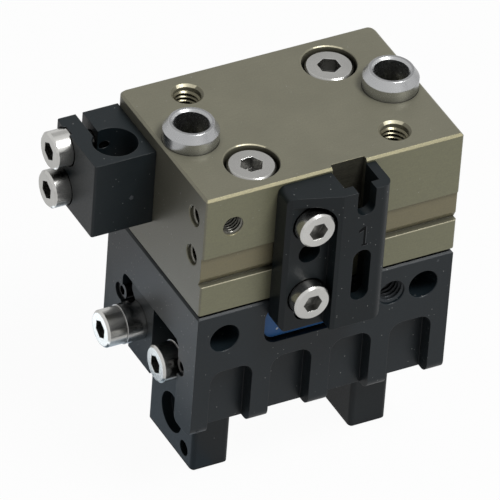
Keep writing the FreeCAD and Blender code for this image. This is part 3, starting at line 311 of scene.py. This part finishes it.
# Bare metal and rubber
SCREW = surface(
    "screw_steel", (0.65, 0.645, 0.62), (0.88, 0.88, 0.88), 1.0, 0.22, grain=6000.0, mottle=0.14,
    wear_and_highlight=0.6, reach=2.6, hollow_shade=0.10, relief=0.015, shade_range=(0.18, 0.85), zones=SHANK_SHADE_ZONES)
SLEEVE = surface(
    "sleeve_steel", (0.48, 0.485, 0.49), (0.85, 0.85, 0.84), 1.0, 0.26, grain=3500.0, mottle=0.08,
    wear_and_highlight=0.6, reach=2.5, hollow_shade=0.05, relief=0.008, shade_range=(0.2, 0.8))
CAM = surface(
    "cam_steel", (0.52, 0.52, 0.51), (0.8, 0.8, 0.8), 1.0, 0.20, grain=3500.0, mottle=0.2,
    wear_and_highlight=0.7, reach=1.2, relief=0.015)
STOP = surface(
    "stop_steel", (0.07, 0.07, 0.07), (0.4, 0.4, 0.4), 1.0, 0.3, reach=2.5, hollow_shade=0.1,
    shade_range=(0.2, 0.8))
GROUND = surface("ground_steel", (0.48, 0.48, 0.47), (0.7, 0.7, 0.7), 1.0, 0.28, hollow_shade=0.15)
BUSH = surface("bushing_bronze", (0.45, 0.30, 0.13), (0.6, 0.42, 0.2), 1.0, 0.35)
RUBBER = surface("seal_rubber", (0.010, 0.010, 0.010), (0.02, 0.02, 0.02), 0.0, 0.7, 0.2, wear_and_highlight=0.1)

# Threads, marks, and the painted shade and highlight of the numeral
THREAD_GOLD = surface(
    "thread_bare", (0.17, 0.158, 0.110), (0.70, 0.67, 0.55), 1.0, 0.24, grain=2500.0, mottle=0.5,
    wear_and_highlight=0.6, reach=2.2, hollow_shade=0.10, relief=0.03, shade_range=(0.1, 0.6))
THREAD_GREY = surface(
    "thread_grey", (0.22, 0.215, 0.19), (0.7, 0.7, 0.66), 1.0, 0.24, grain=2500.0, mottle=0.5,
    wear_and_highlight=0.6, reach=2.2, hollow_shade=0.06, relief=0.03, shade_range=(0.15, 0.65))
THREAD_DARK = surface(
    "thread_dark", (0.022, 0.026, 0.030), (0.10, 0.11, 0.12), 0.3, 0.35, 0.4, reach=1.8, hollow_shade=0.25)
# Painted shade for the inside of the engraved numeral
PAINTED_SHADE_DARK = surface(
    "mark_dark", (0.0015, 0.002, 0.0022), (0.02, 0.02, 0.02), 0.0, 0.6, 0.1, wear_and_highlight=0.2)
# Pale colour for the gate mark and flecks, also the painted highlight along the lower edge of the numeral
MARK_PALE_AND_HIGHLIGHT = surface(
    "mark_light", (0.040, 0.046, 0.052), (0.10, 0.11, 0.12), 0.0, 0.45, 0.4, grain=2500.0,
    mottle=0.8, wear_and_highlight=0.3)
MARK_WHITE = surface(
    "mark_white", (0.55, 0.60, 0.65), (0.8, 0.8, 0.8), 0.0, 0.5, 0.3, wear_and_highlight=0.2)

FINISH = {
    "cylinder_housing": BRONZE,
    "guide_housing": BLACK_ANODISED,
    "jaw_left": JAW_BLACK,
    "jaw_right": JAW_BLACK,
    "sensor_bracket": BRACKET,
    "sensor_clamp": PLASTIC,
    "nameplate": PLATE,
    "centring_sleeve_left": SLEEVE,
    "centring_sleeve_right": SLEEVE,
    "cam_sleeve_front": CAM,
    "cam_sleeve_rear": CAM,
    "joint_gasket": RUBBER,
    "rod_seal": RUBBER,
    "piston_seal": RUBBER,
    "rod_bushing": BUSH,
    "cage_stop_screws": STOP,
}
for name, obj in NODES.items():
    finish = FINISH.get(name, SCREW if "screw" in name else GROUND)
    for slot in obj.material_slots:
        slot.material = finish


# Pieces that the solids leave out
def add_piece(name, verts, faces, finish, body):
    mesh = bpy.data.meshes.new(name)
    mesh.from_pydata([[c * MM for c in v] for v in verts], [], faces)
    mesh.validate()
    mesh.materials.append(finish)
    obj = bpy.data.objects.new(name, mesh)
    scene.collection.objects.link(obj)
    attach(obj, body)


# The way into a hole along each axis, and two directions across it
AXES = {
    "x": (Vector((1, 0, 0)), Vector((0, 1, 0)), Vector((0, 0, 1))),
    "y": (Vector((0, 1, 0)), Vector((0, 0, 1)), Vector((1, 0, 0))),
    "z": (Vector((0, 0, -1)), Vector((1, 0, 0)), Vector((0, -1, 0))),
}
M4_RADIUS, M4_PITCH = 2.0, 0.7
M3_RADIUS, M3_PITCH = 1.5, 0.5

# Half widths of a ridge in pitches, and how deep its foot is in the wall in millimetres
FOOT_HALF, TIP_HALF = 0.46, 0.1
FOOT_SUNK = 0.03
STEPS_PER_TURN = 40
FADE_STEPS = 12


def add_thread(name, mouth, axis, radius, pitch, deep, finish, body, bevel, crest):
    """Ridge of an inner thread from the bevelled mouth inwards along axis."""
    way, across, up = AXES[axis]
    count = int(deep / pitch * STEPS_PER_TURN)
    verts = []
    faces = []
    for step in range(count + 1):
        turn = 2 * math.pi * step / STEPS_PER_TURN
        depth = bevel + pitch * (FOOT_HALF + step / STEPS_PER_TURN)
        spoke = across * math.cos(turn) + up * math.sin(turn)
        fade = min(1.0, step / FADE_STEPS, (count - step) / FADE_STEPS)
        foot, tip = radius + FOOT_SUNK, radius - crest * fade
        section = ((-FOOT_HALF, foot), (-TIP_HALF, tip), (TIP_HALF, tip), (FOOT_HALF, foot))
        for offset, reach in section:
            verts.append(Vector(mouth) + way * (depth + offset * pitch) + spoke * reach)
        if step:
            first = 4 * (step - 1)
            for side in range(3):
                a = first + side
                faces.append((a, a + 1, a + 5, a + 4))
            faces.append((first + 3, first, first + 4, first + 7))
    last = 4 * count
    faces += [(3, 2, 1, 0), (last, last + 1, last + 2, last + 3)]
    add_piece(name, verts, faces, finish, body)


FRONT_FACE = -13.7
LEFT_FACE = -20.0
for side, sign in (("front", -1), ("rear", 1)):
    add_thread("mount_thread_ridge_" + side, (sign * 11.4, -sign * 9.3, 0), "z", M4_RADIUS, M4_PITCH, 7.7,
               THREAD_GOLD, "housing", bevel=0.35, crest=0.32)
add_thread("front_port_ridge", (-15.6, FRONT_FACE, -5.5), "y", M3_RADIUS, M3_PITCH, 4.1,
           THREAD_GREY, "housing", bevel=0.1, crest=0.26)
for level, height in (("upper", -4.75), ("lower", -11.45)):
    add_thread("side_port_ridge_" + level, (LEFT_FACE, -10.4, height), "x", M3_RADIUS, M3_PITCH, 2.0,
               THREAD_GREY, "housing", bevel=0.1, crest=0.26)
add_thread("front_thread_ridge", (10.6, FRONT_FACE, -25.2), "y", M4_RADIUS, M4_PITCH, 4.9,
           THREAD_DARK, "housing", bevel=0.1, crest=0.36)

RIB_FACE = -19.3
PLATE_FACE = -12.9
CLAMP_FACE = 1.4
MARK_SUNK = 0.05


def add_prism(name, outline, face, thick, finish, body):
    """Flat outline in x and z on a face that looks to -y; thick is how far it stands proud."""
    count = len(outline)
    outer = [(x, face - thick, z) for x, z in outline]
    inner = [(x, face + MARK_SUNK, z) for x, z in outline]
    faces = [tuple(range(count)), tuple(range(2 * count - 1, count - 1, -1))]
    for start in range(count):
        end = (start + 1) % count
        faces.append((end, start, start + count, end + count))
    add_piece(name, outer + inner, faces, finish, body)


# Numeral on the rib of the bracket, an engraving drawn as a stroke of painted shade with a painted
# highlight along its lower edge
STROKE = [(1.88, -6.8), (2.24, -6.8), (2.24, -9.85), (2.55, -9.85), (2.55, -10.12), (1.7, -10.12),
          (1.7, -9.85), (1.9, -9.85), (1.9, -7.42), (1.15, -7.7), (1.15, -7.32)]
PAINTED_LIT_EDGE = [(x + 0.09, z - 0.07) for x, z in STROKE]
add_prism("numeral_painted_highlight", PAINTED_LIT_EDGE, RIB_FACE, 0.004, MARK_PALE_AND_HIGHLIGHT, "housing")
add_prism("numeral_shadow", STROKE, RIB_FACE, 0.010, PAINTED_SHADE_DARK, "housing")


def blot(centre_x, centre_z, size, seed):
    """Uneven round outline."""
    rng = random.Random(seed)
    points = 14
    outline = []
    for step in range(points):
        turn = 2 * math.pi * step / points
        reach = size * rng.uniform(0.7, 1.15)
        outline.append((centre_x + reach * math.cos(turn), centre_z + reach * math.sin(turn)))
    return outline


# Gate mark of the clamp, dot on the nameplate, two flecks on the guide housing
add_prism("gate_mark", blot(-23.5, -8.95, 0.38, 3), CLAMP_FACE, 0.01,
          MARK_PALE_AND_HIGHLIGHT, "housing")
add_prism("plate_dot", blot(-6.97, -26.67, 0.19, 5), PLATE_FACE, 0.02,
          MARK_WHITE, "housing")
add_prism("edge_fleck", blot(17.6, -21.6, 0.24, 11), FRONT_FACE, 0.01,
          MARK_PALE_AND_HIGHLIGHT, "housing")
add_prism("corner_fleck", blot(-18.9, -40.9, 0.22, 8), FRONT_FACE, 0.01,
          MARK_PALE_AND_HIGHLIGHT, "housing")

# Camera, lengths in millimetres and the focal length in pixels of a frame 500 wide
FRAME_WIDTH = 500.0
SENSOR_WIDTH = 36.0
AZ, EL, ROLL = math.radians(-29.912), math.radians(37.912), math.radians(4.391)
DISTANCE, FOCAL, SHIFT_X, SHIFT_Y = 1227.368, 8867.95, -5.645, -19.093
back = Vector((math.sin(AZ) * math.cos(EL), -math.cos(AZ) * math.cos(EL), math.sin(EL)))
level_side = (-back).cross(Vector((0, 0, 1))).normalized()
level_up = level_side.cross(-back)
right = math.cos(ROLL) * level_side + math.sin(ROLL) * level_up
high = -math.sin(ROLL) * level_side + math.cos(ROLL) * level_up
stand = Matrix((right, high, back)).transposed().to_4x4()
stand.translation = (back * DISTANCE + right * SHIFT_X + high * SHIFT_Y) * MM
cam = bpy.data.objects.new("camera", bpy.data.cameras.new("camera"))
cam.data.sensor_width = SENSOR_WIDTH
cam.data.lens = FOCAL * SENSOR_WIDTH / FRAME_WIDTH
cam.data.clip_start, cam.data.clip_end = 0.1, 20.0
cam.matrix_world = stand
scene.collection.objects.link(cam)
scene.camera = cam


# Floor, backdrop and lights
def white_for_camera(tree, shader_out, light_kind, share, mirror_share=1.0):
    """Mixes plain white into what the camera sees, and a part of it into what metal and glass see."""
    path = node(tree, "ShaderNodeLightPath")
    mirrored = maths(tree, "MAXIMUM", path.outputs["Is Glossy Ray"], path.outputs["Is Transmission Ray"])
    mirrored = maths(tree, "MULTIPLY", mirrored, mirror_share)
    seen = maths(tree, "MAXIMUM", path.outputs["Is Camera Ray"], mirrored)
    light = node(tree, light_kind)
    light.inputs["Strength"].default_value = 1.0
    mix = node(tree, "ShaderNodeMixShader")
    feed(tree, mix.inputs[0], maths(tree, "MULTIPLY", seen, share))
    tree.links.new(shader_out, mix.inputs[1])
    tree.links.new(light.outputs[0], mix.inputs[2])
    return mix.outputs[0]


bpy.ops.mesh.primitive_plane_add(size=4.0, location=(0, 0, cad_low.z))
floor = bpy.context.object
floor.name = "floor"
mat, tree, shader = new_material("floor_white")
shader.inputs["Base Color"].default_value = (0.50, 0.50, 0.50, 1)
shader.inputs["Roughness"].default_value = 0.9
shader.inputs["Specular IOR Level"].default_value = 0.0
feed(tree, tree.nodes["Material Output"].inputs["Surface"],
     white_for_camera(tree, shader.outputs[0], "ShaderNodeEmission", 0.96, 0.35))
floor.data.materials.append(mat)


def add_card(name, spot, facing, wide, tall, colour):
    """Studio card that only reflections see."""
    bpy.ops.mesh.primitive_plane_add(size=1.0)
    card = bpy.context.object
    card.name = name
    card.scale = (wide, tall, 1)
    card.location = spot
    card.rotation_mode = "QUATERNION"
    card.rotation_quaternion = Vector(facing).to_track_quat("Z", "Y")
    mat, tree = new_material(name)[:2]
    light = node(tree, "ShaderNodeEmission")
    light.inputs["Color"].default_value = (*colour, 1)
    feed(tree, tree.nodes["Material Output"].inputs["Surface"], light.outputs[0])
    card.data.materials.append(mat)
    card.visible_camera = card.visible_diffuse = card.visible_shadow = False
    card.visible_transmission = False


add_card("card_over", (0.354, 0.616, 0.553), (0.393, 0.684, 0.614), 0.62, 0.5, (0.5, 0.5, 0.5))
add_card("card_side", (0.354, -0.779, 0.144), (0.393, -0.866, 0.16), 0.55, 0.24, (0.04, 0.04, 0.04))

# Three strips on the floor to the left, with their sides in millimetres
for name, left, right_end, near, far, colour in (
        ("card_floor_outer", -43, -34, -5, 38, (1.80, 1.92, 2.04)),
        ("card_floor_middle", -34, -26, -12, 38, (0.09, 0.13, 0.17)),
        ("card_floor_inner", -26, -12, -12, 30, (0.50, 0.58, 0.66))):
    add_card(name, ((left + right_end) / 2 * MM, (near + far) / 2 * MM, cad_low.z + 0.5 * MM), (0, 0, 1),
             (right_end - left) * MM, (far - near) * MM, colour)

world = bpy.data.worlds.new("studio")
world.use_nodes = True
scene.world = world
sky = world.node_tree.nodes["Background"]
sky.inputs["Color"].default_value = (1, 1, 1, 1)
sky.inputs["Strength"].default_value = 0.36
feed(world.node_tree, world.node_tree.nodes["World Output"].inputs["Surface"],
     white_for_camera(world.node_tree, sky.outputs[0], "ShaderNodeBackground", 1.0))

KEY_SPOT = Vector((0.24, -0.42, 0.82))
KEY_TARGET = Vector((0, 0, -0.025))
key = bpy.data.objects.new("key", bpy.data.lights.new("key", "AREA"))
key.data.size = 0.35
key.data.energy = 9.0
key.location = KEY_SPOT
key.rotation_mode = "QUATERNION"
key.rotation_quaternion = (KEY_TARGET - KEY_SPOT).to_track_quat("-Z", "Y")
scene.collection.objects.link(key)

scene.view_settings.view_transform = "Standard"
